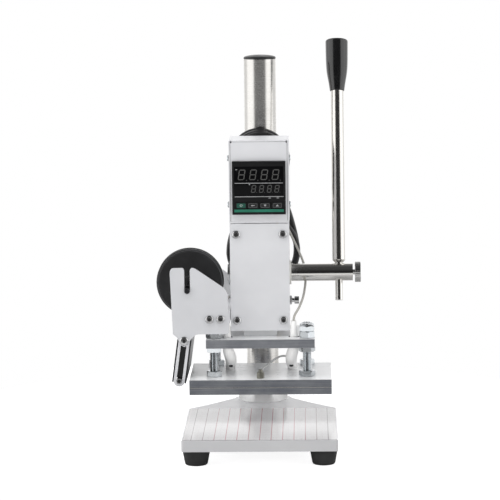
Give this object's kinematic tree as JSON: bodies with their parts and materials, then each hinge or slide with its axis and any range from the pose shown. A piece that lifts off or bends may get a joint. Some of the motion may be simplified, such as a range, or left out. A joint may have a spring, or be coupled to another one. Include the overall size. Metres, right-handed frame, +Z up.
{
  "type": "hot foil stamping machine",
  "caption": "Bench-top hot foil stamping press: head clamped on a round column, rack ram driven by a side lever, heated plate, controller box, foil holder and footed base.",
  "frame": {"origin": "centre of the machine's outline in plan, on the ground under the rubber feet", "axes": "+X to the operator's right (lever side), +Y to the rear (column side), +Z up along the column"},
  "size_m": [0.188, 0.2305, 0.3671],
  "materials": {
    "base_paint": "satin",
    "grid_print": "glossy printed film",
    "black_rubber": "matte",
    "zinc_steel": "zinc plated",
    "chrome_bar": "polished",
    "collar_steel": "turned",
    "black_plastic": "glossy",
    "white_paint": "fine powder coat",
    "bush_plastic": "moulded",
    "gib_brass": "milled",
    "black_steel": "black oxide",
    "controller_case": "moulded",
    "key_rubber": "satin",
    "lead_sheath": "braided",
    "glass_sleeve": "woven fibreglass",
    "black_fibre": "turned",
    "gear_steel": "machined",
    "plate_alu": "brushed",
    "mica": "laminated",
    "probe_brass": "turned"
  },
  "bodies": {
    "base": {"base_plate": "base_paint", "grid_sheet": "grid_print", "rubber_feet": "black_rubber", "foot_screws": "zinc_steel", "column": "chrome_bar", "column_bolt": "zinc_steel", "column_collar": "collar_steel", "column_cap": "black_plastic"},
    "head": {"head_frame": "white_paint", "front_cover": "white_paint", "cover_screws": "zinc_steel", "shaft_bushes": "bush_plastic", "gib_strip": "gib_brass", "gib_screw": "black_steel", "spring_pin": "zinc_steel", "clamp_screws": "black_steel", "controller_panel": "white_paint", "controller_chassis": "white_paint", "panel_screws": "zinc_steel", "temp_controller": "controller_case", "heater_leads": "lead_sheath", "foil_bracket_front": "white_paint", "foil_bracket_rear": "white_paint", "bracket_bar": "white_paint", "bracket_screws": "zinc_steel", "arm_pivots": "zinc_steel", "cord_gland": "black_rubber", "cord_lead_in": "black_rubber", "cord_hank": "black_rubber", "cord_tail": "black_rubber", "power_plug": "black_fibre", "cord_tie": "black_fibre"},
    "lever": {"lever_shaft": "chrome_bar", "drive_pinion": "gear_steel", "shaft_ring": "zinc_steel", "lever_rod": "chrome_bar", "lever_knob": "black_plastic"},
    "thumb": {"thumb_screw": "chrome_bar"},
    "ram": {"ram": "gear_steel", "press_plate": "plate_alu", "plate_screws": "zinc_steel", "plate_studs": "zinc_steel", "plate_nuts": "zinc_steel", "heat_plate": "plate_alu", "die_plate": "plate_alu", "heater_element": "mica", "thermocouple": "probe_brass", "thermocouple_lead": "lead_sheath", "heater_sleeves": "glass_sleeve", "return_spring": "zinc_steel"},
    "reel": {"foil_axle": "chrome_bar", "foil_cheeks": "black_fibre"},
    "guide": {"guide_arms": "white_paint", "guide_plates": "black_steel", "guide_rod": "gear_steel"},
    "set_button": {"key_set": "key_rubber"},
    "shift_button": {"key_shift": "key_rubber"},
    "down_button": {"key_down": "key_rubber"},
    "up_button": {"key_up": "key_rubber"}
  },
  "joints": [
    {"name": "head_height", "type": "slide", "parent": "base", "child": "head", "axis": [0, 0, 1], "range_m": [-0.015, 0.1]},
    {"name": "lever_turn", "type": "hinge", "parent": "head", "child": "lever", "pos_m": [0, 0.029, 0.1524], "axis": [1, 0, 0], "range_deg": [0, 103]},
    {"name": "ram_slide", "type": "slide", "parent": "head", "child": "ram", "axis": [0, 0, 1], "range_m": [-0.027, 0], "stiffness_N_per_m": 600, "springref_m": 0.045, "deforming": ["return_spring"]},
    {"name": "thumb_turn", "type": "hinge", "parent": "lever", "child": "thumb", "pos_m": [0.088, 0.029, 0.1524], "axis": [1, 0, 0], "range_deg": [0, 360]},
    {"name": "reel_spin", "type": "hinge", "parent": "head", "child": "reel", "pos_m": [-0.0651, 0, 0.1451], "axis": [0, 1, 0], "continuous": true},
    {"name": "guide_swing", "type": "hinge", "parent": "head", "child": "guide", "pos_m": [-0.0685, 0, 0.0994], "axis": [0, 1, 0], "range_deg": [0, 60]},
    {"name": "set_press", "type": "slide", "parent": "head", "child": "set_button", "axis": [0, 1, 0], "range_m": [0, 0.0006], "stiffness_N_per_m": 1500, "springref_m": -0.0004},
    {"name": "shift_press", "type": "slide", "parent": "head", "child": "shift_button", "axis": [0, 1, 0], "range_m": [0, 0.0006], "stiffness_N_per_m": 1500, "springref_m": -0.0004},
    {"name": "down_press", "type": "slide", "parent": "head", "child": "down_button", "axis": [0, 1, 0], "range_m": [0, 0.0006], "stiffness_N_per_m": 1500, "springref_m": -0.0004},
    {"name": "up_press", "type": "slide", "parent": "head", "child": "up_button", "axis": [0, 1, 0], "range_m": [0, 0.0006], "stiffness_N_per_m": 1500, "springref_m": -0.0004}
  ],
  "couplings": [
    {"joint": "ram_slide", "follows": "lever_turn", "m_per_rad": -0.015}
  ]
}
